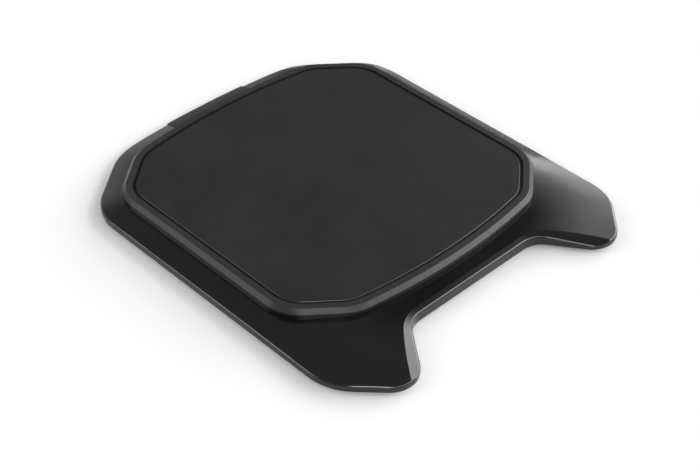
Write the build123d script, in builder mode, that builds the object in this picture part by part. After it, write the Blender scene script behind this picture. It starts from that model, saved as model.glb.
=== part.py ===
"""Low wireless charging pad: a gloss base with two front prongs and a square, matte-framed
charging face, on rubber feet. Millimetres, +Z up, +Y to the rear, origin on the resting plane
under the middle of the footprint."""
import os
from math import cos, radians, sin, sqrt

from build123d import *

os.makedirs("parts", exist_ok=True)

# ---------------------------------------------------------------- driving dimensions
# footprint of the base, seen from above
base_length = 135.2         # prong tips to rear edge
base_width = 117.4
rear_bow = 3.3              # how far the rear edge bows out
rear_bow_half = 38.0        # half the chord of that bow
rear_cut = 20.5             # rear corner: where the cut starts, forward of the rear edge
corner_round = 18.0         # rounding of the base's four outer corners
notch_depth = 16.1          # front notch, from the prong tips
notch_half = 25.8           # half the notch's width at its straight rear edge
notch_round = 8.0
tip_x = 41.5                # prong tip's centre, from the middle
tip_round = 8.3
prong_outer_angle = 45.8    # direction of the prong's outer edge, from X
prong_inner_angle = 54.6    # direction of the prong's inner edge, from X

# pad outline: the middle of the groove between frame and mat
pad_half_width = 48.4
pad_half_length = 49.2
pad_bow = 3.1               # bow of its front and rear edges
pad_bow_half = 34.6
pad_side_half = 34.5        # half the straight part of its sides
pad_round = 11.0
pad_to_rear = 59.9          # pad centre to the base's rear edge

# heights above the table
foot_height = 0.8
cover_thickness = 1.4
lip_bottom = 1.5
deck_height = 5.6           # crown of the base, under the pad
pad_top = 8.3

# gloss surface of the base: it falls away from the deck on all sides
skirt_drop = 2.3            # at the sides and the rear edge
skirt_run = 13.2            # the fall starts this far in from the edge
prong_run = 28.0            # and this far in on the prongs
prong_blend_start = 30.0    # ahead of the pad centre, where one becomes the other
prong_blend = 22.0
front_drop = 2.06           # fall of the prongs, over this run, towards their tips
front_run = 27.3
front_start = 48.0          # ahead of the pad centre
front_sharpness = 1.76      # how late the fall steepens
skirt_limit = 2.8           # where two falls meet, they come no lower than this together
surface_margin = 3.0        # the surface is drawn this far past the footprint
surface_columns = 24
surface_rows = 28
bevel_width = 2.7           # bevel along the notch
bevel_slope = 15.0
bevel_tilt = 7.4            # it falls towards the prong tips
bevel_round = 0.7           # where it rolls over into the wall
lip_round = 0.8

# shell walls
wall = 2.2
ledge_thickness = 1.0
ledge_width = 4.0           # shell ledge inside the pad outline
seat_depth = 0.7            # how deep the pad frame sits below the deck's crown
fit = 0.1                   # assembly clearance between moulded pieces

# pad frame
rim_flat = 1.95
rim_chamfer = 1.2
groove = 0.9                # between frame and mat
groove_depth = 0.4          # the mat's thin edge lies at the bottom of it
frame_floor = 1.0
mat_thickness = 1.15
mat_drop = 0.05             # mat below the frame's rim
bond_thickness = 0.15
mat_edge = 0.3
post_radius = 1.0
post_head_radius = 1.3
post_head = 0.5
post_spread = 20.0

# coil stack under the frame's floor
coil_outer = 25.0
coil_inner = 10.5
coil_thickness = 1.1
winding_edge = 0.3
bond_sheet = 0.1
ferrite_side = 53.0
ferrite_thickness = 0.8
lead_slot = 2.4
shield_width = 60.0
shield_thickness = 0.5
lead_radius = 0.35
lead_x = 3.0
lead_reach = 5.0            # how far a lead runs over the board
thermistor_radius = 1.2
thermistor_height = 0.9

# circuit board and what is on it
board_front = 29.0          # from the pad centre
board_rear = 44.0
board_half = 34.0
board_thickness = 0.8
board_rise = 0.6            # bosses between cover and board
board_tail_half = 7.5
board_tail_rear = 54.6
tail_gap = 0.5              # room beside the board's tail
boss_radius = 2.5
board_screw_x = 27.0
board_screw_radius = 0.8
board_screw_head = 1.5

# power inlet
inlet_width = 7.5
inlet_height = 2.45
inlet_length = 6.5
inlet_sheet = 0.25          # its folded shell
inlet_setback = 1.6         # its mouth, forward of the base's rear edge
inlet_floor = 0.3           # housing under it
inlet_corner = 0.6
tongue_block = 1.6          # insulator that fills its inner end
tongue_width = 3.7
tongue_thickness = 0.6
tongue_length = 3.6
housing_half = 15.8
housing_rise = 0.3          # how far the housing stands above the skirt
housing_round = 0.6
housing_edge = 0.15         # rounding of its rear top edge

# feet and screws
side_foot_length = 42.0
side_foot_middle = -19.0    # from the pad centre
side_foot_outer = 57.7
side_foot_width = 4.6
rear_foot_length = 24.0
rear_foot_width = 5.0
rear_foot_inset = 34.7      # its middle, in from the base's sides
rear_foot_y = 46.0
prong_foot_radius = 5.0
prong_foot_y = -62.5
foot_recess = 0.4
screw_radius = 1.0
screw_head_radius = 1.9
screw_head_depth = 0.8
screw_length = 1.8
screw_inset_front = 11.2    # cover screws: in from the sides, and from the pad centre
screw_inset_middle = 6.0
screw_inset_rear = 18.0
screw_y_front = 52.0
screw_y_middle = 12.0
screw_y_rear = 47.0

# ---------------------------------------------------------------- derived places
pad_y = base_length / 2 - pad_to_rear
cover_bottom = foot_height
cover_top = cover_bottom + cover_thickness
seat_level = deck_height - seat_depth
ledge_under = seat_level - ledge_thickness
mat_top = pad_top - mat_drop
floor_top = mat_top - mat_thickness - bond_thickness
floor_bottom = floor_top - frame_floor
frame_outer = groove / 2 + rim_flat + rim_chamfer
board_bottom = cover_top + board_rise
board_top = board_bottom + board_thickness
coil_bottom = floor_bottom - coil_thickness
ferrite_top = coil_bottom - bond_sheet
shield_top = ferrite_top - ferrite_thickness
shield_bottom = shield_top - shield_thickness
half_width = base_width / 2
half_length = base_length / 2
rear_foot_x = half_width - rear_foot_inset
inlet_mouth = half_length - inlet_setback
inlet_bottom = cover_bottom + inlet_floor
inlet_middle = inlet_bottom + inlet_height / 2
mouth_width = inlet_width - 2 * inlet_sheet
mouth_height = inlet_height - 2 * inlet_sheet
lead_low = ferrite_top - lead_radius - bond_sheet / 2
lead_high = floor_bottom - coil_thickness / 2
screw_seat = cover_bottom + screw_head_depth
screw_top = screw_seat + screw_length


# parts on the board: x, distance behind its front edge, then width, length, height
component_sizes = {
    "controller_chip": [(-20.0, 7.5, 6.0, 6.0, 0.85)],
    "bridge_switches": [(x, y, 3.3, 3.3, 0.8) for x in (-10.0, 10.0) for y in (5.5, 10.5)],
    "tank_capacitors": [(x, 4.5, 3.2, 2.5, 1.8) for x in (14.5, 18.5, 22.5)],
    "bulk_capacitors": [(x, 13.0, 3.2, 2.5, 1.8) for x in (14.0, 18.0)],
    "input_choke": [(22.5, 11.0, 5.5, 5.5, 2.2)],
    "clock_crystal": [(-20.0, 13.0, 3.2, 2.5, 0.7)],
    "small_passives": [
        (x, y, 1.0, 0.6, 0.45) for x in (-24.0, -16.0, -14.5) for y in (2.0, 3.5, 13.0)
    ],
}

# ---------------------------------------------------------------- outlines and surfaces
def pad_outline(grow):
    """Square with bowed front and rear edges and cut, rounded corners."""
    edge_y = pad_half_length - pad_bow
    with BuildSketch() as outline:
        with BuildLine():
            for side in (1, -1):
                ThreePointArc(
                    (-side * pad_bow_half, -side * edge_y),
                    (0, -side * pad_half_length),
                    (side * pad_bow_half, -side * edge_y),
                )
                Polyline(
                    (side * pad_bow_half, -side * edge_y),
                    (side * pad_half_width, -side * pad_side_half),
                    (side * pad_half_width, side * pad_side_half),
                    (side * pad_bow_half, side * edge_y),
                )
        make_face()
        fillet(outline.vertices(), radius=pad_round)
        offset(amount=grow, mode=Mode.REPLACE)
    return Pos(0, pad_y, 0) * outline.sketch


def prong_corner():
    """Sharp corner of a prong, from the rounded tip and the directions of its two edges."""
    outer = (sin(radians(prong_outer_angle)), -cos(radians(prong_outer_angle)))
    inner = (-sin(radians(prong_inner_angle)), -cos(radians(prong_inner_angle)))
    reach = tip_round / (1 + outer[0] * inner[0] + outer[1] * inner[1])
    x = tip_x + reach * (outer[0] + inner[0])
    y = tip_round - half_length + reach * (outer[1] + inner[1])
    return x, y


def base_outline(grow):
    """Footprint: bowed rear, cut rear corners, and two prongs with a notch between."""
    corner_x, corner_y = prong_corner()
    shoulder = corner_y + (half_width - corner_x) * sin(radians(prong_outer_angle)) / cos(
        radians(prong_outer_angle)
    )
    notch_y = notch_depth - half_length
    bow_y = half_length - rear_bow
    with BuildSketch() as outline:
        with BuildLine():
            ThreePointArc((rear_bow_half, bow_y), (0, half_length), (-rear_bow_half, bow_y))
            Line((-notch_half, notch_y), (notch_half, notch_y))
            for side in (1, -1):
                Polyline(
                    (side * rear_bow_half, bow_y),
                    (side * half_width, half_length - rear_cut),
                    (side * half_width, shoulder),
                    (side * corner_x, corner_y),
                    (side * notch_half, notch_y),
                )
        make_face()
        points = outline.vertices()
        tips = points.sort_by(Axis.Y)[:2]
        notch = [v for v in points if abs(v.Y - notch_y) < 0.01]
        others = [v for v in points if v not in tips and v not in notch]
        fillet(others, radius=corner_round)
        points = outline.vertices()
        fillet(points.sort_by(Axis.Y)[:2], radius=tip_round)
        fillet([v for v in outline.vertices() if abs(v.Y - notch_y) < 0.01], radius=notch_round)
        if grow:
            offset(amount=grow, mode=Mode.REPLACE)
    return outline.sketch


def skirt_height(x, y):
    """Height of the gloss surface: level under the pad, falling smoothly to the edges."""
    cut_x, cut_y = half_width - rear_bow_half, rear_cut - rear_bow
    cut_length = sqrt(cut_x**2 + cut_y**2)
    to_side = half_width - abs(x)
    to_rear = half_length - y
    to_cut = (to_side * cut_y + (to_rear - rear_cut) * cut_x) / cut_length
    share = min(1, max(0, (pad_y - prong_blend_start - y) / prong_blend))
    side_run = skirt_run + (prong_run - skirt_run) * share**2 * (3 - 2 * share)
    sides = [
        skirt_drop * (max(0, run - distance) / run) ** 2
        for distance, run in ((to_side, side_run), (to_rear, skirt_run), (to_cut, skirt_run))
    ]
    side_fall = sum(fall**3 for fall in sides) ** (1 / 3)
    ahead = max(0, pad_y - front_start - y)
    front_fall = front_drop * (ahead / front_run) ** front_sharpness
    return deck_height - side_fall - front_fall + side_fall * front_fall / skirt_limit


def above_skirt(rise):
    """Everything above the gloss surface, lifted by rise: used to trim what lies under it."""
    reach_x, reach_y = half_width + surface_margin, half_length + surface_margin
    across = [reach_x * (2 * column / surface_columns - 1) for column in range(surface_columns + 1)]
    along = [reach_y * (2 * row / surface_rows - 1) for row in range(surface_rows + 1)]
    grid = [[(x, y, skirt_height(x, y) + rise) for y in along] for x in across]
    return extrude(Face.make_surface_from_array_of_points(grid), amount=pad_top, dir=(0, 0, 1))


def mirrored(places):
    """The places, and the same on the other side of the middle."""
    return [(side * x, y) for x, y in places for side in (1, -1)]


def notch_cutter():
    """Notch void that opens upwards: its side rolls over and slopes away as the notch bevel."""
    notch_y = notch_depth - half_length
    corner_x, corner_y = prong_corner()
    turn = 90 - bevel_slope
    roll = [turn * step / 4 for step in range(5)]
    profile = [
        (bevel_round * (1 - cos(radians(angle))), bevel_round * sin(radians(angle))) for angle in roll
    ]
    slope = sin(radians(bevel_slope)) / cos(radians(bevel_slope))
    roll_width, roll_rise = profile[-1]
    bevel_rise = (bevel_width - roll_width) * slope
    foot = skirt_height(0, notch_y + bevel_width) - bevel_rise - roll_rise
    profile.append((bevel_width * 3, roll_rise + (bevel_width * 3 - roll_width) * slope))
    tilt = radians(bevel_tilt)
    sections = []
    for grow, rise in profile:
        origin = (0, notch_y, foot + rise)
        with BuildSketch(Plane(origin, x_dir=(1, 0, 0), z_dir=(0, -sin(tilt), cos(tilt)))) as void:
            with BuildLine():
                Polyline(
                    (-corner_x, corner_y - notch_y),
                    (-notch_half, 0),
                    (notch_half, 0),
                    (corner_x, corner_y - notch_y),
                    close=True,
                )
            make_face()
            fillet(void.vertices().sort_by(Axis.Y)[-2:], radius=notch_round)
            offset(amount=grow + 0.01, kind=Kind.INTERSECTION, mode=Mode.REPLACE)
        sections.append(void.sketch)
    return loft(sections, ruled=True)


shell_cutter = above_skirt(0)
bevel_cutter = notch_cutter()

# foot, post and screw places: x, y
side_foot_x = side_foot_outer - side_foot_width / 2
side_foot_places = mirrored([(side_foot_x, pad_y + side_foot_middle)])
rear_foot_places = mirrored([(rear_foot_x, pad_y + rear_foot_y)])
prong_foot_places = mirrored([(tip_x, pad_y + prong_foot_y)])
cover_screw_places = mirrored(
    [
        (half_width - screw_inset_front, pad_y - screw_y_front),
        (half_width - screw_inset_middle, pad_y + screw_y_middle),
        (half_width - screw_inset_rear, pad_y + screw_y_rear),
    ]
)
post_line = (ledge_width + wall / 2) / 2
post_line_x = pad_half_width - post_line
post_line_y = pad_half_length - post_line - pad_bow * (post_spread / pad_bow_half) ** 2
post_places = mirrored([(post_line_x, pad_y + y) for y in (-post_spread, post_spread)])
post_places += mirrored([(post_spread, pad_y + y) for y in (-post_line_y, post_line_y)])
board_screw_places = mirrored(
    [(board_screw_x, pad_y + y) for y in (board_front + boss_radius, board_rear - 1.5 * boss_radius)]
)


def side_foot_shape(grow):
    """Long foot beside the lip, its ends cut at an angle."""
    with BuildSketch() as shape:
        with Locations(*side_foot_places):
            Rectangle(side_foot_width + 2 * grow, side_foot_length + 2 * grow)
        chamfer(shape.vertices(), length=side_foot_width / 3)
    return shape.sketch


def rear_foot_shape(grow):
    """Pair of bars behind the board."""
    with BuildSketch() as shape:
        with Locations(*rear_foot_places):
            SlotOverall(rear_foot_length + 2 * grow, rear_foot_width + 2 * grow)
    return shape.sketch


def prong_foot_shape(grow):
    """Round foot under each prong."""
    with BuildSketch() as shape:
        with Locations(*prong_foot_places):
            Circle(prong_foot_radius + grow)
    return shape.sketch


def housing_shape(grow):
    """Rear block round the power inlet, as far out as the base's rear edge."""
    front = pad_y + pad_half_length + frame_outer + fit
    with BuildSketch() as shape:
        with Locations((0, (front + half_length) / 2)):
            Rectangle(2 * (housing_half + grow), half_length - front + 2 * grow)
        if grow <= 0:
            add(base_outline(0), mode=Mode.INTERSECT)
    return shape.sketch


# ---------------------------------------------------------------- base moulding
with BuildPart() as top_shell:
    with BuildSketch(Plane.XY.offset(lip_bottom)):
        add(base_outline(0))
    extrude(amount=pad_top)
    add(shell_cutter, mode=Mode.SUBTRACT)
    fillet(top_shell.faces().sort_by(Axis.Z)[-1].edges(), radius=lip_round)
    add(bevel_cutter, mode=Mode.SUBTRACT)
    # seat for the pad frame, and the opening under the charging face
    with BuildSketch(Plane.XY.offset(seat_level)):
        add(pad_outline(frame_outer + fit))
    extrude(amount=pad_top, mode=Mode.SUBTRACT)
    with BuildSketch(Plane.XY.offset(cover_top)):
        add(pad_outline(-ledge_width))
    extrude(amount=pad_top, mode=Mode.SUBTRACT)
    # pocket for the cover, and the electronics space above it
    with BuildSketch():
        add(base_outline(-wall))
    extrude(amount=cover_top, mode=Mode.SUBTRACT)
    with BuildSketch(Plane.XY.offset(cover_top)):
        add(pad_outline(-wall / 2))
    extrude(amount=ledge_under - cover_top, mode=Mode.SUBTRACT)
    # slot for the inlet housing
    with BuildSketch():
        add(housing_shape(fit))
    extrude(amount=pad_top, mode=Mode.SUBTRACT)
    with BuildSketch(Plane.XY.offset(cover_top)):
        with Locations((0, pad_y + board_rear)):
            Rectangle(2 * (board_tail_half + tail_gap), 2 * (board_tail_rear - board_rear))
    extrude(amount=ledge_under - cover_top, mode=Mode.SUBTRACT)
    with Locations(*[(x, y, seat_level) for x, y in post_places]):
        Cylinder(post_radius + fit, 3 * ledge_thickness, mode=Mode.SUBTRACT)
    with Locations(*[(x, y, cover_top) for x, y in cover_screw_places]):
        Cylinder(screw_radius, 2 * (screw_top + fit - cover_top), mode=Mode.SUBTRACT)
top_shell.part.label = "top_shell"
export_step(top_shell.part, "parts/top_shell.step")


# ---------------------------------------------------------------- charging face
with BuildPart() as pad_frame:
    with BuildSketch(Plane.XY.offset(seat_level)):
        add(pad_outline(frame_outer))
    extrude(amount=pad_top - seat_level)
    chamfer(pad_frame.faces().sort_by(Axis.Z)[-1].edges(), length=rim_chamfer)
    with BuildSketch(Plane.XY.offset(floor_top)):
        add(pad_outline(groove / 2))
    extrude(amount=pad_top, mode=Mode.SUBTRACT)
    with BuildSketch(Plane.XY.offset(seat_level)):
        add(pad_outline(-ledge_width))
    extrude(amount=floor_bottom - seat_level, mode=Mode.SUBTRACT)
    # posts through the shell's ledge, flattened over on its far side
    post_bottom = ledge_under - post_head
    with Locations(*[(x, y, post_bottom) for x, y in post_places]):
        Cylinder(post_radius, seat_level - post_bottom, align=(Align.CENTER, Align.CENTER, Align.MIN))
        Cylinder(post_head_radius, post_head, align=(Align.CENTER, Align.CENTER, Align.MIN))
pad_frame.part.label = "pad_frame"
export_step(pad_frame.part, "parts/pad_frame.step")

with BuildPart() as mat_bond:
    with BuildSketch(Plane.XY.offset(floor_top)):
        add(pad_outline(-groove / 2 - mat_edge))
    extrude(amount=bond_thickness)
mat_bond.part.label = "mat_bond"
export_step(mat_bond.part, "parts/mat_bond.step")

with BuildPart() as charging_mat:
    with BuildSketch(Plane.XY.offset(floor_top + bond_thickness)):
        add(pad_outline(groove / 2 - fit))
    extrude(amount=mat_thickness - groove_depth)
    with BuildSketch(Plane.XY.offset(mat_top - groove_depth)):
        add(pad_outline(-groove / 2))
    extrude(amount=groove_depth)
    chamfer(charging_mat.faces().sort_by(Axis.Z)[-1].edges(), length=mat_edge)
charging_mat.part.label = "charging_mat"
export_step(charging_mat.part, "parts/charging_mat.step")

# ---------------------------------------------------------------- inlet at the rear
with BuildPart() as inlet_housing:
    with BuildSketch(Plane.XY.offset(cover_bottom)):
        add(housing_shape(0))
    extrude(amount=pad_top)
    add(above_skirt(housing_rise), mode=Mode.SUBTRACT)
    top_edges = inlet_housing.faces().sort_by(Axis.Z)[-1].edges().sort_by(Axis.X)
    fillet([top_edges[0], top_edges[-1]], radius=housing_round)
    rear_edge = inlet_housing.faces().sort_by(Axis.Z)[-1].edges().sort_by(Axis.Y)[-1]
    fillet(rear_edge, radius=housing_edge)
    # socket for the inlet shell, and the way in from behind
    with BuildSketch(Plane.XZ.offset(-inlet_mouth)):
        with Locations((0, inlet_middle)):
            RectangleRounded(inlet_width + 2 * fit, inlet_height + 2 * fit, inlet_corner + fit)
    extrude(amount=2 * inlet_length, mode=Mode.SUBTRACT)
    with BuildSketch(Plane.XZ.offset(-inlet_mouth)):
        with Locations((0, inlet_middle)):
            RectangleRounded(mouth_width, mouth_height, inlet_corner - inlet_sheet)
    extrude(amount=-2 * inlet_setback, mode=Mode.SUBTRACT)
    # pocket for the board's tail
    with BuildSketch(Plane.XY.offset(board_bottom - fit)):
        with Locations((0, pad_y + board_rear)):
            Rectangle(2 * (board_tail_half + tail_gap), 2 * (board_tail_rear + fit - board_rear))
    extrude(amount=board_thickness + 2 * fit, mode=Mode.SUBTRACT)
inlet_housing.part.label = "inlet_housing"
export_step(inlet_housing.part, "parts/inlet_housing.step")

with BuildPart() as inlet_shell:
    with BuildSketch(Plane.XZ.offset(-inlet_mouth)):
        with Locations((0, inlet_middle)):
            RectangleRounded(inlet_width, inlet_height, inlet_corner)
    extrude(amount=inlet_length)
    with BuildSketch(Plane.XZ.offset(-inlet_mouth)):
        with Locations((0, inlet_middle)):
            RectangleRounded(mouth_width, mouth_height, inlet_corner - inlet_sheet)
    extrude(amount=inlet_length - inlet_sheet, mode=Mode.SUBTRACT)
inlet_shell.part.label = "inlet_shell"
export_step(inlet_shell.part, "parts/inlet_shell.step")

with BuildPart() as inlet_tongue:
    back = inlet_length - inlet_sheet - inlet_mouth
    with BuildSketch(Plane.XZ.offset(back)):
        with Locations((0, inlet_middle)):
            Rectangle(mouth_width - 2 * fit, mouth_height - 2 * fit)
    extrude(amount=-tongue_block)
    with BuildSketch(Plane.XZ.offset(back - tongue_block)):
        with Locations((0, inlet_middle)):
            Rectangle(tongue_width, tongue_thickness)
    extrude(amount=-tongue_length)
inlet_tongue.part.label = "inlet_tongue"
export_step(inlet_tongue.part, "parts/inlet_tongue.step")

# ---------------------------------------------------------------- cover, screws and feet
with BuildPart() as bottom_cover:
    with BuildSketch(Plane.XY.offset(cover_bottom)):
        add(base_outline(-wall - fit))
    extrude(amount=cover_thickness)
    chamfer(bottom_cover.faces().sort_by(Axis.Z)[0].edges(), length=foot_recess)
    with BuildSketch():
        add(housing_shape(fit))
    extrude(amount=pad_top, mode=Mode.SUBTRACT)
    with Locations(*[(x, y, cover_top) for x, y in board_screw_places]):
        Cylinder(boss_radius, board_rise, align=(Align.CENTER, Align.CENTER, Align.MIN))
    with Locations(*[(x, y, board_bottom) for x, y in board_screw_places]):
        Cylinder(board_screw_radius, 2 * board_rise, mode=Mode.SUBTRACT)
    with BuildSketch(Plane.XZ.offset(inlet_length + fit - inlet_mouth)):
        with Locations((0, inlet_middle)):
            Rectangle(inlet_width + 2 * fit, inlet_height + 2 * fit)
    extrude(amount=-inlet_length, mode=Mode.SUBTRACT)
    with BuildSketch():
        add(side_foot_shape(fit))
    extrude(amount=lip_bottom, mode=Mode.SUBTRACT)
    with BuildSketch():
        add(rear_foot_shape(fit))
        add(prong_foot_shape(fit))
    extrude(amount=cover_bottom + foot_recess, mode=Mode.SUBTRACT)
    with Locations(*[(x, y, cover_bottom) for x, y in cover_screw_places]):
        Cylinder(screw_radius + fit, 2 * cover_thickness, mode=Mode.SUBTRACT)
        Cylinder(screw_head_radius + fit, 2 * screw_head_depth, mode=Mode.SUBTRACT)
bottom_cover.part.label = "bottom_cover"
export_step(bottom_cover.part, "parts/bottom_cover.step")

with BuildPart() as cover_screws:
    with Locations(*[(x, y, screw_seat) for x, y in cover_screw_places]):
        Cylinder(screw_head_radius, screw_head_depth - fit, align=(Align.CENTER, Align.CENTER, Align.MAX))
        Cylinder(screw_radius - fit / 2, screw_length, align=(Align.CENTER, Align.CENTER, Align.MIN))
    with Locations(*[(x, y, screw_seat - screw_head_depth + fit) for x, y in cover_screw_places]):
        Cylinder(screw_head_radius / 3, screw_head_depth, mode=Mode.SUBTRACT)
cover_screws.part.label = "cover_screws"
export_step(cover_screws.part, "parts/cover_screws.step")

with BuildPart() as side_feet:
    with BuildSketch():
        add(side_foot_shape(0))
    extrude(amount=lip_bottom)
side_feet.part.label = "side_feet"
export_step(side_feet.part, "parts/side_feet.step")

with BuildPart() as rear_feet:
    with BuildSketch():
        add(rear_foot_shape(0))
    extrude(amount=cover_bottom + foot_recess)
    chamfer(rear_feet.faces().sort_by(Axis.Z)[:2].edges(), length=foot_recess / 2)
rear_feet.part.label = "rear_feet"
export_step(rear_feet.part, "parts/rear_feet.step")

with BuildPart() as prong_feet:
    with BuildSketch():
        add(prong_foot_shape(0))
    extrude(amount=cover_bottom + foot_recess)
    chamfer(prong_feet.faces().sort_by(Axis.Z)[:2].edges(), length=foot_recess / 2)
prong_feet.part.label = "prong_feet"
export_step(prong_feet.part, "parts/prong_feet.step")

# ---------------------------------------------------------------- coil and its backing
with BuildPart() as coil_winding:
    with BuildSketch(Plane.XY.offset(coil_bottom)):
        with Locations((0, pad_y)):
            Circle(coil_outer)
            Circle(coil_inner, mode=Mode.SUBTRACT)
    extrude(amount=coil_thickness)
    chamfer(coil_winding.faces().sort_by(Axis.Z)[0].edges(), length=winding_edge)
coil_winding.part.label = "coil_winding"
export_step(coil_winding.part, "parts/coil_winding.step")

with BuildPart() as coil_leads:
    inner_y = sqrt(coil_inner**2 - lead_x**2) - 2 * lead_radius
    outer_y = sqrt(coil_outer**2 - lead_x**2) + lead_radius
    pad_end = board_front + lead_reach
    routes = [
        [(-lead_x, inner_y, lead_high), (-lead_x, inner_y, lead_low), (-lead_x, board_front, lead_low)],
        [(lead_x, outer_y, lead_high), (lead_x, board_front - lead_radius, lead_high)],
    ]
    for route in routes:
        end_x, solder_z = route[0][0], board_top + lead_radius
        points = route + [(end_x, pad_end - lead_reach / 2, solder_z), (end_x, pad_end, solder_z)]
        with BuildLine() as path:
            FilletPolyline(*[(x, y + pad_y, z) for x, y, z in points], radius=2 * lead_radius)
        with BuildSketch(Plane(origin=path.line @ 0, z_dir=path.line % 0)):
            RegularPolygon(lead_radius, 8)
        sweep(path=path.line)
coil_leads.part.label = "coil_leads"
export_step(coil_leads.part, "parts/coil_leads.step")

with BuildPart() as coil_bond:
    with BuildSketch(Plane.XY.offset(ferrite_top)):
        with Locations((0, pad_y)):
            Circle(coil_outer)
            Circle(coil_inner, mode=Mode.SUBTRACT)
        with Locations((-lead_x, pad_y + coil_outer)):
            Rectangle(lead_slot, 2 * coil_outer, mode=Mode.SUBTRACT)
    extrude(amount=bond_sheet)
coil_bond.part.label = "coil_bond"
export_step(coil_bond.part, "parts/coil_bond.step")

with BuildPart() as ferrite_sheet:
    with BuildSketch(Plane.XY.offset(shield_top)):
        with Locations((0, pad_y)):
            Rectangle(ferrite_side, ferrite_side)
        with Locations((-lead_x, pad_y + ferrite_side / 2)):
            SlotOverall(2 * (ferrite_side / 2 - coil_inner / 2), lead_slot, rotation=90, mode=Mode.SUBTRACT)
    extrude(amount=ferrite_thickness)
ferrite_sheet.part.label = "ferrite_sheet"
export_step(ferrite_sheet.part, "parts/ferrite_sheet.step")

with BuildPart() as shield_plate:
    with BuildSketch(Plane.XY.offset(shield_bottom)):
        with Locations((0, pad_y)):
            RectangleRounded(shield_width, ferrite_side + lead_slot, lead_slot)
    extrude(amount=shield_thickness)
shield_plate.part.label = "shield_plate"
export_step(shield_plate.part, "parts/shield_plate.step")

with BuildPart() as thermal_pad:
    with BuildSketch(Plane.XY.offset(cover_top)):
        with Locations((0, pad_y)):
            RectangleRounded(2 * coil_outer, 2 * coil_outer, lead_slot)
    extrude(amount=shield_bottom - cover_top)
thermal_pad.part.label = "thermal_pad"
export_step(thermal_pad.part, "parts/thermal_pad.step")

with BuildPart() as coil_thermistor:
    with BuildSketch(Plane.XY.offset(floor_bottom - thermistor_height)):
        with Locations((0, pad_y)):
            Circle(thermistor_radius)
    extrude(amount=thermistor_height)
    chamfer(coil_thermistor.faces().sort_by(Axis.Z)[0].edges(), length=thermistor_height / 2)
coil_thermistor.part.label = "coil_thermistor"
export_step(coil_thermistor.part, "parts/coil_thermistor.step")

# ---------------------------------------------------------------- circuit board
with BuildPart() as circuit_board:
    with BuildSketch(Plane.XY.offset(board_bottom)):
        with Locations((0, pad_y + (board_front + board_rear) / 2)):
            RectangleRounded(2 * board_half, board_rear - board_front, boss_radius)
        with Locations((0, pad_y + board_rear)):
            Rectangle(2 * board_tail_half, 2 * (board_tail_rear - board_rear))
        with Locations((0, inlet_mouth)):
            Rectangle(inlet_width + 2 * fit, 2 * (inlet_length + fit), mode=Mode.SUBTRACT)
        with Locations(*board_screw_places):
            Circle(board_screw_radius + fit, mode=Mode.SUBTRACT)
    extrude(amount=board_thickness)
circuit_board.part.label = "circuit_board"
export_step(circuit_board.part, "parts/circuit_board.step")

with BuildPart() as board_screws:
    with Locations(*[(x, y, board_top) for x, y in board_screw_places]):
        Cylinder(board_screw_head, board_thickness, align=(Align.CENTER, Align.CENTER, Align.MIN))
        Cylinder(
            board_screw_radius - fit / 2,
            board_thickness + board_rise,
            align=(Align.CENTER, Align.CENTER, Align.MAX),
        )
    with Locations(*[(x, y, board_top + board_thickness) for x, y in board_screw_places]):
        Cylinder(board_screw_head / 3, board_thickness, mode=Mode.SUBTRACT)
board_screws.part.label = "board_screws"
export_step(board_screws.part, "parts/board_screws.step")

for component_name, places in component_sizes.items():
    with BuildPart() as component:
        for x, behind, width, length, height in places:
            with Locations((x, pad_y + board_front + behind, board_top)):
                Box(width, length, height, align=(Align.CENTER, Align.CENTER, Align.MIN))
    component.part.label = component_name
    export_step(component.part, f"parts/{component_name}.step")
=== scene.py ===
"""Looks of a low wireless charging pad, built around its fixed frame. Metres, +Z up, +Y rear."""
import math

import bmesh
import bpy
from mathutils import Matrix, Vector


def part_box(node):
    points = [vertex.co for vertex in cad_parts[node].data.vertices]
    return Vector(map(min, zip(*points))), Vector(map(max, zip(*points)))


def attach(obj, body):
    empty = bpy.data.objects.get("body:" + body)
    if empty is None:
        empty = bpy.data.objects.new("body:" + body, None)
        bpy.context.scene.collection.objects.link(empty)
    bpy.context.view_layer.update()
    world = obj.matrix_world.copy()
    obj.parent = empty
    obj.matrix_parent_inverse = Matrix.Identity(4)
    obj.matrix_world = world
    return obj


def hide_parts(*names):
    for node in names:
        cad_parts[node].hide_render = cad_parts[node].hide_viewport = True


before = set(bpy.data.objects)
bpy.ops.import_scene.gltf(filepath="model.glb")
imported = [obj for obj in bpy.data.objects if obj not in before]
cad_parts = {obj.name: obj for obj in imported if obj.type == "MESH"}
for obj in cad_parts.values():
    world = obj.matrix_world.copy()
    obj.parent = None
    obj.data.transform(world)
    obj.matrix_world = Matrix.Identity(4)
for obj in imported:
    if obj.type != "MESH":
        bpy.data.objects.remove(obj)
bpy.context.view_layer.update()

bl_info = {
    "name": "Wireless Charging Pad",
    "version": (1, 0, 0),
    "blender": (4, 5, 0),
    "location": "3D View > Sidebar > Charging Pad",
    "description": "Finishes the pieces of a low wireless charging pad and sets its studio",
    "category": "Object",
}

MAT_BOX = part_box("charging_mat")
FRAME_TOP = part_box("pad_frame")[1].z

WELD = 0.000002         # corners of a CAD mesh nearer than this are one
HAIR = 0.000001         # slack when heights are compared
LEVEL = 0.9             # a face is level once its normal's Z is past this
FLAT = 0.999            # and so level that it is shaded flat past this
SHARP = math.radians(40)            # edges that turn by more than this stay sharp
ROLL_SHARE = 0.95       # the most of the mat's raised edge that its roll takes up
FLOOR_GAP = 0.00002     # the floor lies this far under the feet
COLOUR_RESULT = 2       # the colour output of a mix node
ROOM_LIGHT = 0.25       # light from every direction, under the lamps
COIL_RINGS = 314.0      # scale of the ring pattern, one ring for each turn of the coil
AIM = (-0.01637, -0.0182, 0.0083)   # the point that the camera looks at
FRAME_POLISH_AND_PAINTED_SHADE = (0.0021, 0.0015)     # under the frame's top: polished, and painted dark as painted shade, below the first; matte above
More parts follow.
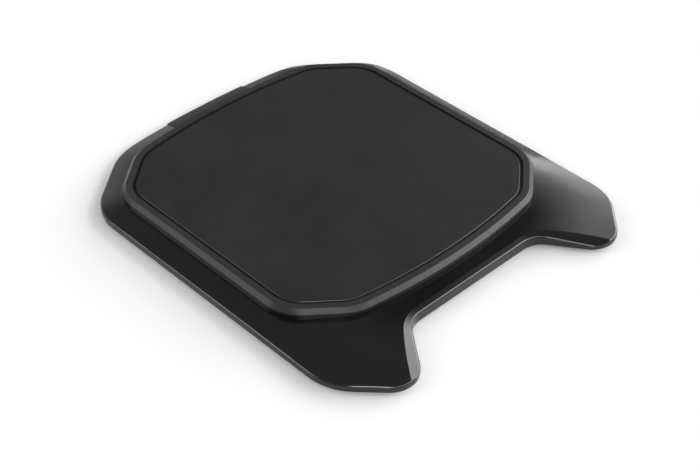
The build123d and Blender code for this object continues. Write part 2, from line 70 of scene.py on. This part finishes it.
# Distances under the mat's top, each a soft edge: where the step in the groove, darkened as painted
# shade, ends, where the glossier roll starts, and where it ends.
MAT_PAINTED_SHADE_STEP = (0.00038, 0.0003)
MAT_ROLL_START = (0.00034, 0.00026)
MAT_ROLL_END = (0.00012, 0.00001)


# ---------------------------------------------------------------- shader maths
class Wire:
    """A node socket that adds, subtracts and multiplies as a number does."""

    def __init__(self, shader, socket):
        self.shader = shader
        self.socket = socket

    def math(self, operation, *others):
        return self.shader.node("Math", {"operation": operation}, self, *others)

    def __add__(self, other):
        return self.math("ADD", other)

    __radd__ = __add__

    def __sub__(self, other):
        return self.math("SUBTRACT", other)

    def __rsub__(self, other):
        return self.shader.node("Math", {"operation": "SUBTRACT"}, other, self)

    def __mul__(self, other):
        return self.math("MULTIPLY", other)

    __rmul__ = __mul__


class Shader:
    """A node tree under construction: every node comes from node()."""

    def __init__(self, owner):
        owner.use_nodes = True
        self.tree = owner.node_tree
        self.tree.nodes.clear()

    def node(self, kind, settings=None, *values, out=0, **named):
        """Makes a node, sets its settings, then its sockets in use by order or by name."""
        made = self.tree.nodes.new("ShaderNode" + kind)
        for key, value in (settings or {}).items():
            setattr(made, key, value)
        in_use = [socket for socket in made.inputs if socket.enabled]
        for socket, value in zip(in_use, values):
            self.feed(socket, value)
        for key, value in named.items():
            self.feed(made.inputs[key.replace("_", " ")], value)
        return Wire(self, made.outputs[out]) if made.outputs else made

    def feed(self, socket, value):
        if isinstance(value, Wire):
            self.tree.links.new(value.socket, socket)
        else:
            socket.default_value = value

    def place(self):
        """Where a point is in the piece, in metres."""
        return self.node("TexCoord", out="Object")

    def height(self, place):
        return self.node("SeparateXYZ", None, place, out="Z")

    def noise(self, place, scale, detail=3.0, roughness=0.55):
        """Noise from 0 to 1. scale counts the features in a metre."""
        return self.node(
            "TexNoise", None, Vector=place, Scale=scale, Detail=detail, Roughness=roughness
        )

    def spread(self, value, low, high, from_low=0.3, from_high=0.7):
        """Spreads a value onto low..high."""
        return self.node("MapRange", None, value, from_low, from_high, low, high)

    def tint(self, factor, first, second):
        """Mixes two colours."""
        colours = [c if isinstance(c, Wire) else (*c, 1.0) for c in (first, second)]
        return self.node("Mix", {"data_type": "RGBA"}, factor, *colours, out=COLOUR_RESULT)

    def bump(self, height, distance, strength=1.0):
        return self.node("Bump", None, Strength=strength, Distance=distance, Height=height)

    def finish(self, **sockets):
        """Principled shader, wired to the output."""
        self.node("OutputMaterial", None, self.node("BsdfPrincipled", **sockets))


def grey(level):
    return (level, level, level)


def scaled(colour, by):
    return [part * by for part in colour]


def new_material(name):
    material = bpy.data.materials.new(name)
    return material, Shader(material)


def gloss_moulding(looks):
    """Polished moulding: faint flow waves, and fine wear that dulls it in patches."""
    material, s = new_material("gloss_moulding")
    at = s.place()
    patches = s.noise(at, 35.0, 4.0)
    specks = s.noise(at, 2600.0, 2.0)
    flow = s.noise(at, 60.0, 1.0)
    colour, roughness = looks.gloss_colour, looks.gloss_roughness
    s.finish(
        Base_Color=s.tint(s.spread(patches, 0.0, 1.0), colour, scaled(colour, 1.25)),
        Roughness=s.spread(patches + specks * 0.3, roughness, roughness + 0.05, 0.3, 0.9),
        Normal=s.bump(flow, 0.00001),
        IOR=1.5,
    )
    return material


def eroded(s, at, colour, grain):
    """The grain of a spark-eroded moulding, and its colour, which drifts in broad patches."""
    fine = s.noise(at, grain, 2.0)
    broad = s.noise(at, 90.0, 3.0)
    return fine, s.tint(s.spread(broad, 0.0, 1.0), scaled(colour, 0.94), scaled(colour, 1.06))


def matte_moulding(name, colour, roughness, grain=4200.0, sheen=0.5):
    """Spark-eroded moulding: even fine grain, slightly uneven sheen."""
    material, s = new_material(name)
    fine, shade = eroded(s, s.place(), colour, grain)
    s.finish(
        Base_Color=shade,
        Roughness=s.spread(fine, roughness - 0.06, roughness + 0.06),
        Normal=s.bump(fine, 0.000012, 0.6),
        IOR=1.46,
        Specular_IOR_Level=sheen,
    )
    return material


def frame_moulding(looks):
    """Matte frame whose lowest band, next to the gloss base, is polished as the base is, and
    coloured as dark as the base as painted shade where the frame meets it.
    """
    material, s = new_material("frame_moulding")
    at = s.place()
    fine, shade = eroded(s, at, looks.frame_colour, 4200.0)
    # The foot band is polished, and coloured dark as painted shade where the frame meets the base.
    matte_above_shaded_foot = s.spread(s.height(at), 0.0, 1.0, *(FRAME_TOP - down for down in FRAME_POLISH_AND_PAINTED_SHADE))
    s.finish(
        Base_Color=s.tint(matte_above_shaded_foot, looks.gloss_colour, shade),
        Roughness=s.spread(matte_above_shaded_foot, 0.18, 0.36, 0.0, 1.0) + s.spread(fine, -0.06, 0.06),
        Normal=s.bump(fine, 0.000012, 0.6),
        IOR=1.46,
        Specular_IOR_Level=0.3,
    )
    return material


def soft_mat_finish(looks):
    """Soft-touch sheet: cloudy mottling, fine nap, glossier rolled edge, and painted shade that
    darkens the step in the groove.
    """
    material, s = new_material("soft_mat")
    at = s.place()
    clouds = s.noise(at, 55.0, 5.0, 0.6)
    nap = s.noise(at, 5200.0, 2.0)
    height = s.height(at)
    top = MAT_BOX[1].z

    def above(downs):
        """0 below and 1 above two heights, which are told as distances under the mat's top."""
        return s.spread(height, 0.0, 1.0, *(top - down for down in downs))

    edge = above(MAT_ROLL_START) * (1 - above(MAT_ROLL_END))
    base = looks.mat_colour
    mottled = s.tint(s.spread(clouds, 0.0, 1.0, 0.35, 0.65), scaled(base, 0.88), scaled(base, 1.12))
    s.finish(
        # Painted shade: the low step in the groove is coloured darker than the sheet.
        Base_Color=s.tint(above(MAT_PAINTED_SHADE_STEP), grey(0.0095), mottled),
        Roughness=s.spread(clouds + nap * 0.2, 0.55, 0.65, 0.4, 0.8) - edge * 0.38,
        Normal=s.bump(nap, 0.00001, 0.6),
        IOR=1.4,
        Specular_IOR_Level=0.05,
        Coat_Weight=edge * 0.75,
        Coat_Roughness=0.28,
    )
    return material


def metal(name, colour, roughness):
    """Plated or rolled metal with fine handling marks."""
    material, s = new_material(name)
    at = s.place()
    marks = s.noise(at, 900.0, 4.0)
    s.finish(
        Base_Color=s.tint(marks, scaled(colour, 0.9), colour),
        Roughness=s.spread(marks, roughness, roughness + 0.12),
        Normal=s.bump(marks, 0.000006, 0.5),
        Metallic=1.0,
    )
    return material


def plain(name, colour, roughness, grain=2500.0):
    """Rubber, film, laminate and ceramic: grain and slight colour drift."""
    material, s = new_material(name)
    at = s.place()
    fine = s.noise(at, grain, 3.0)
    s.finish(
        Base_Color=s.tint(fine, scaled(colour, 0.88), scaled(colour, 1.1)),
        Roughness=s.spread(fine, roughness - 0.05, roughness + 0.08),
        Normal=s.bump(fine, 0.00001, 0.6),
    )
    return material


def wound_copper():
    """Enamelled wire wound flat: one ridge for each turn of the coil, with painted shade darkening
    the copper between the ridges.
    """
    material, s = new_material("wound_copper")
    low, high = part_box("coil_winding")
    from_centre = s.node("Mapping", None, s.place(), -(low + high) / 2)
    turns_and_painted_shade = s.node(
        "TexWave", {"wave_type": "RINGS", "rings_direction": "Z"},
        Vector=from_centre, Scale=COIL_RINGS,
    )
    varnish = s.noise(from_centre, 800.0, 3.0)
    s.finish(
        # Painted shade: the copper is darker in the hollows between turns.
        Base_Color=s.tint(turns_and_painted_shade, (0.16, 0.06, 0.025), (0.62, 0.27, 0.1)),
        Roughness=s.spread(varnish, 0.28, 0.42),
        Normal=s.bump(turns_and_painted_shade, 0.0002, 0.8),
        Metallic=0.6,
    )
    return material


# ---------------------------------------------------------------- settings
class PadLooks(bpy.types.PropertyGroup):
    """Colours and finishes that a user would change."""

    gloss_colour: bpy.props.FloatVectorProperty(
        name="Gloss Colour", description="Colour of the polished base", subtype="COLOR",
        size=3, min=0, max=1, default=(0.004, 0.004, 0.0042),
    )
    gloss_roughness: bpy.props.FloatProperty(
        name="Gloss Roughness", description="Blur of the base's reflections", subtype="FACTOR",
        min=0, max=1, default=0.12,
    )
    frame_colour: bpy.props.FloatVectorProperty(
        name="Frame Colour", description="Colour of the face's frame and the inlet block",
        subtype="COLOR", size=3, min=0, max=1, default=(0.015, 0.015, 0.0153),
    )
    mat_colour: bpy.props.FloatVectorProperty(
        name="Mat Colour", description="Colour of the soft mat", subtype="COLOR",
        size=3, min=0, max=1, default=(0.0171, 0.0171, 0.0174),
    )
    mat_round: bpy.props.FloatProperty(
        name="Mat Rounding", description="Radius of the mat's top edge", unit="LENGTH",
        min=0.0001, max=0.001, default=0.00038,
    )


class StageLooks(bpy.types.PropertyGroup):
    """Camera and floor."""

    azimuth: bpy.props.FloatProperty(
        name="Azimuth", description="Turn of the camera round the pad", subtype="ANGLE",
        default=math.radians(-43.84),
    )
    elevation: bpy.props.FloatProperty(
        name="Elevation", description="Height of the camera above the horizon", subtype="ANGLE",
        default=math.radians(39.72),
    )
    distance: bpy.props.FloatProperty(
        name="Distance", description="Camera to the point it looks at", unit="LENGTH",
        default=0.4171,
    )
    lens: bpy.props.FloatProperty(
        name="Lens", description="Focal length in millimetres", unit="CAMERA",
        min=10, max=200, default=75.1,
    )
    floor_radius: bpy.props.FloatProperty(
        name="Floor Radius", description="Size of the floor", unit="LENGTH",
        default=6.0,
    )


# ---------------------------------------------------------------- pieces
def finish_piece(name, mesh, material, replaced):
    """Links a finished mesh as a piece of the pad."""
    piece = bpy.data.objects.new(name, mesh)
    bpy.context.scene.collection.objects.link(piece)
    piece.data.materials.append(material)
    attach(piece, "root")
    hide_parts(*replaced)


def dress(node_names, material):
    """Gives CAD nodes their finish."""
    for name in node_names:
        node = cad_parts[name]
        node.data.materials.clear()
        node.data.materials.append(material)


def merged_copy(node_name):
    """A CAD node's mesh as a bmesh, with its loose triangles joined."""
    shape = bmesh.new()
    shape.from_mesh(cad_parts[node_name].data)
    bmesh.ops.remove_doubles(shape, verts=shape.verts, dist=WELD)
    return shape


def raise_face(shape, face, rise, keep):
    """Extrudes a level face upwards, and keeps the one below where it closes the underside."""
    raised = bmesh.ops.extrude_face_region(shape, geom=[face])["geom"]
    corners = [part for part in raised if isinstance(part, bmesh.types.BMVert)]
    bmesh.ops.translate(shape, verts=corners, vec=(0, 0, rise))
    if not keep:
        bmesh.ops.delete(shape, geom=[face], context="FACES_ONLY")


def height_of(face):
    return face.calc_center_median().z


class PAD_OT_soft_mat(bpy.types.Operator):
    """Makes the soft mat: an even sheet with a rolled top edge"""

    bl_idname = "pad.soft_mat"
    bl_label = "Soft Mat"

    def execute(self, context):
        looks = context.scene.pad_looks
        low, high = MAT_BOX
        shape = merged_copy("charging_mat")
        step = min(height_of(face) for face in shape.faces if face.normal.z > LEVEL)
        upper_side = max(corner.co.x for corner in shape.verts if corner.co.z > step + HAIR)

        # Only the underside is kept, as one face.
        others = [
            face for face in shape.faces
            if face.normal.z > -LEVEL or height_of(face) > low.z + HAIR
        ]
        bmesh.ops.delete(shape, geom=others, context="FACES")
        bmesh.ops.dissolve_faces(shape, faces=shape.faces[:])
        shape.faces.ensure_lookup_table()
        underside = shape.faces[0]
        underside.normal_flip()

        # The thin edge that lies in the groove, then the sheet's upper part inside it.
        raise_face(shape, underside, step - low.z, keep=True)
        flange = max(shape.faces, key=height_of)
        bmesh.ops.inset_individual(
            shape, faces=[flange], thickness=high.x - upper_side, use_even_offset=True
        )
        raise_face(shape, flange, high.z - step, keep=False)

        # The roll stops just short of the step, so that some upright wall is left.
        top = max(shape.faces, key=height_of)
        bmesh.ops.bevel(
            shape, geom=top.edges[:], offset=min(looks.mat_round, ROLL_SHARE * (high.z - step)),
            offset_type="OFFSET", segments=6, profile=0.5, affect="EDGES", material=-1,
            clamp_overlap=False,
        )
        bmesh.ops.recalc_face_normals(shape, faces=shape.faces[:])
        for face in shape.faces:
            face.smooth = abs(face.normal.z) < FLAT
        mesh = bpy.data.meshes.new("soft_mat")
        shape.to_mesh(mesh)
        shape.free()
        mesh.set_sharp_from_angle(angle=SHARP)
        finish_piece("soft_mat", mesh, soft_mat_finish(looks), ["charging_mat"])
        return {"FINISHED"}


class PAD_OT_mouldings(bpy.types.Operator):
    """Finishes the gloss base, the matte frame, the inlet block and the cover"""

    bl_idname = "pad.mouldings"
    bl_label = "Mouldings"

    def execute(self, context):
        looks = context.scene.pad_looks
        dress(["top_shell"], gloss_moulding(looks))
        dress(["pad_frame"], frame_moulding(looks))
        inlet_finish = matte_moulding("inlet_moulding", looks.frame_colour, 0.5, sheen=0.2)
        dress(["inlet_housing"], inlet_finish)
        dress(["bottom_cover"], matte_moulding("cover_moulding", (0.02, 0.02, 0.021), 0.6, 1800.0))
        return {"FINISHED"}


class PAD_OT_inlet(bpy.types.Operator):
    """Finishes the power inlet's metal shell and its tongue"""

    bl_idname = "pad.inlet"
    bl_label = "Inlet"

    def execute(self, context):
        dress(["inlet_shell", "clock_crystal"], metal("plated_steel", grey(0.6), 0.25))
        dress(["inlet_tongue", "coil_thermistor"], plain("board_plastic", grey(0.02), 0.5))
        return {"FINISHED"}


class PAD_OT_feet_and_screws(bpy.types.Operator):
    """Finishes the rubber feet and the screws"""

    bl_idname = "pad.feet_and_screws"
    bl_label = "Feet and Screws"

    def execute(self, context):
        rubber = plain("foot_rubber", grey(0.025), 0.75, 3000.0)
        dress(["side_feet", "rear_feet", "prong_feet"], rubber)
        dress(["cover_screws", "board_screws"], metal("screw_steel", grey(0.12), 0.3))
        return {"FINISHED"}


class PAD_OT_inner_pieces(bpy.types.Operator):
    """Finishes the coil, its backing and the board"""

    bl_idname = "pad.inner_pieces"
    bl_label = "Inner Pieces"

    def execute(self, context):
        dress(["mat_bond", "coil_bond"], plain("adhesive", (0.55, 0.53, 0.48), 0.5))
        dress(["coil_winding"], wound_copper())
        dress(["coil_leads"], plain("copper", (0.55, 0.25, 0.1), 0.35, 6000.0))
        dress(["ferrite_sheet"], plain("ferrite", (0.06, 0.06, 0.065), 0.6))
        dress(["shield_plate"], metal("aluminium_sheet", (0.7, 0.7, 0.72), 0.3))
        dress(["thermal_pad"], plain("gap_pad", (0.35, 0.4, 0.45), 0.8))
        dress(["circuit_board"], plain("board_laminate", (0.02, 0.12, 0.06), 0.35))
        chips = plain("chip_plastic", grey(0.03), 0.55)
        dress(["controller_chip", "bridge_switches", "input_choke"], chips)
        ceramic = plain("capacitor_ceramic", (0.45, 0.33, 0.2), 0.45)
        dress(["bulk_capacitors", "tank_capacitors", "small_passives"], ceramic)
        return {"FINISHED"}


# ---------------------------------------------------------------- stage
def towards(azimuth, elevation):
    """Unit vector towards an azimuth, 0 in front and growing to the right, and an elevation."""
    level = math.cos(elevation)
    return Vector((math.sin(azimuth) * level, -math.cos(azimuth) * level, math.sin(elevation)))


def studio_world():
    """Dim room with a pale rear wall, a large lamp at the right, small ones ahead and at the left.

    Turns are counted from the rear towards the right, and rises from the horizon, in degrees.
    """
    world = bpy.data.worlds.new("studio")
    s = Shader(world)
    ray = s.node("TexCoord", out="Generated")
    x, y, z = (s.node("SeparateXYZ", None, ray, out=axis) for axis in "XYZ")
    turn = x.math("ARCTAN2", y) * (180 / math.pi)
    rise = z.math("ARCSINE") * (180 / math.pi)

    def fade(value, start, end):
        """0 before start, 1 past end; the other way round where end comes first."""
        low, high = (0.0, 1.0) if end > start else (1.0, 0.0)
        edges = sorted((start, end))
        return s.node("MapRange", {"interpolation_type": "SMOOTHSTEP"}, value, *edges, low, high)

    def field(brightness, turns_and_painted_shade, rises):
        """Light within some turns and rises; every pair in them is one soft edge."""
        shape = [fade(turn, *edge) for edge in turns_and_painted_shade] + [fade(rise, *edge) for edge in rises]
        return math.prod(shape, start=brightness)

    def patch(brightness, left, right, bottom, top, soft):
        """Light within two turns and two rises, with the same softness at every edge."""
        turns_and_painted_shade = ((left - soft, left + soft), (right + soft, right - soft))
        rises = ((bottom - soft, bottom + soft), (top + soft, top - soft))
        return field(brightness, turns_and_painted_shade, rises)

    both_sides = turn.math("ABSOLUTE")
    lamps = {
        "rear wall": field(0.65, ((-110, -70), (38, 28)), ((50, 14),)),
        "right lamp": field(4.5, ((56, 71), (130, 100)), ((13, 18), (56, 24))),
        "right lamp's core": field(3.2, ((57, 62), (90, 70)), ((15, 18), (30, 22))),
        "right table": field(1.4, ((46, 52),), ((14, 7),)),
        "side lamp": field(4.5, ((72, 80), (140, 120)), ((4, 8), (26, 20))),
        "corner lamps": fade(both_sides, 143, 150) * field(4.0, (), ((20, 28), (48, 40))),
        "notch lamp": patch(1.7, 74, 92, 28, 44, 5),
        "front lamp": patch(7.0, 116, 148, 18, 43, 5),
        "camera lamp": patch(9.5, -148, -124, 18, 50, 5),
        "left strip": patch(4.1, -60, -38, 18, 50, 4),
        "left sky": patch(0.2, -150, -30, 60, 95, 8),
    }
    dark_card = field(0.24, ((66, 58), (42, 50)), ((32, 40), (52, 46)))
    light = sum(lamps.values(), start=ROOM_LIGHT) - dark_card
    seen = s.node("LightPath", out="Is Camera Ray")
    s.node("OutputWorld", None, s.node("Background", None, s.tint(seen, light, grey(1.0)), 1.0))
    return world


class PAD_OT_stage(bpy.types.Operator):
    """Sets the camera, the pale floor and the studio light"""

    bl_idname = "pad.stage"
    bl_label = "Stage"

    def execute(self, context):
        stage = context.scene.stage_looks
        scene = context.scene
        scene.view_settings.view_transform = "Standard"
        back = towards(stage.azimuth, stage.elevation)
        camera = bpy.data.objects.new("camera", bpy.data.cameras.new("camera"))
        scene.collection.objects.link(camera)
        camera.data.lens = stage.lens
        camera.data.sensor_width = 36.0
        camera.data.clip_start = 0.01
        camera.data.clip_end = 50.0
        camera.location = Vector(AIM) + back * stage.distance
        camera.rotation_euler = back.to_track_quat("Z", "Y").to_euler()
        scene.camera = camera

        shape = bmesh.new()
        bmesh.ops.create_circle(
            shape, cap_ends=True, segments=96, radius=stage.floor_radius,
            matrix=Matrix.Translation((0, 0, -FLOOR_GAP)),
        )
        mesh = bpy.data.meshes.new("floor")
        shape.to_mesh(mesh)
        shape.free()
        floor = bpy.data.objects.new("floor", mesh)
        scene.collection.objects.link(floor)
        material, s = new_material("pale_floor")
        s.finish(Base_Color=(*grey(0.64), 1.0), Roughness=0.9, Specular_IOR_Level=0.0)
        floor.data.materials.append(material)

        scene.world = studio_world()
        return {"FINISHED"}


class PAD_PT_panel(bpy.types.Panel):
    """Lists the pad's operators and settings"""

    bl_idname = "PAD_PT_panel"
    bl_label = "Charging Pad"
    bl_space_type = "VIEW_3D"
    bl_region_type = "UI"
    bl_category = "Charging Pad"

    def draw(self, context):
        for group in (context.scene.pad_looks, context.scene.stage_looks):
            for key in group.__annotations__:
                self.layout.prop(group, key)
        for step in STEPS:
            self.layout.operator(step.bl_idname)


STEPS = (
    PAD_OT_stage,
    PAD_OT_mouldings,
    PAD_OT_soft_mat,
    PAD_OT_inlet,
    PAD_OT_feet_and_screws,
    PAD_OT_inner_pieces,
)
CLASSES = (PadLooks, StageLooks, *STEPS, PAD_PT_panel)


def register():
    for each in CLASSES:
        bpy.utils.register_class(each)
    bpy.types.Scene.pad_looks = bpy.props.PointerProperty(type=PadLooks)
    bpy.types.Scene.stage_looks = bpy.props.PointerProperty(type=StageLooks)


def unregister():
    del bpy.types.Scene.stage_looks
    del bpy.types.Scene.pad_looks
    for each in reversed(CLASSES):
        bpy.utils.unregister_class(each)


def main():
    """Runs every step."""
    register()
    for step in STEPS:
        group, name = step.bl_idname.split(".")
        getattr(getattr(bpy.ops, group), name)()


if __name__ == "__main__":
    main()
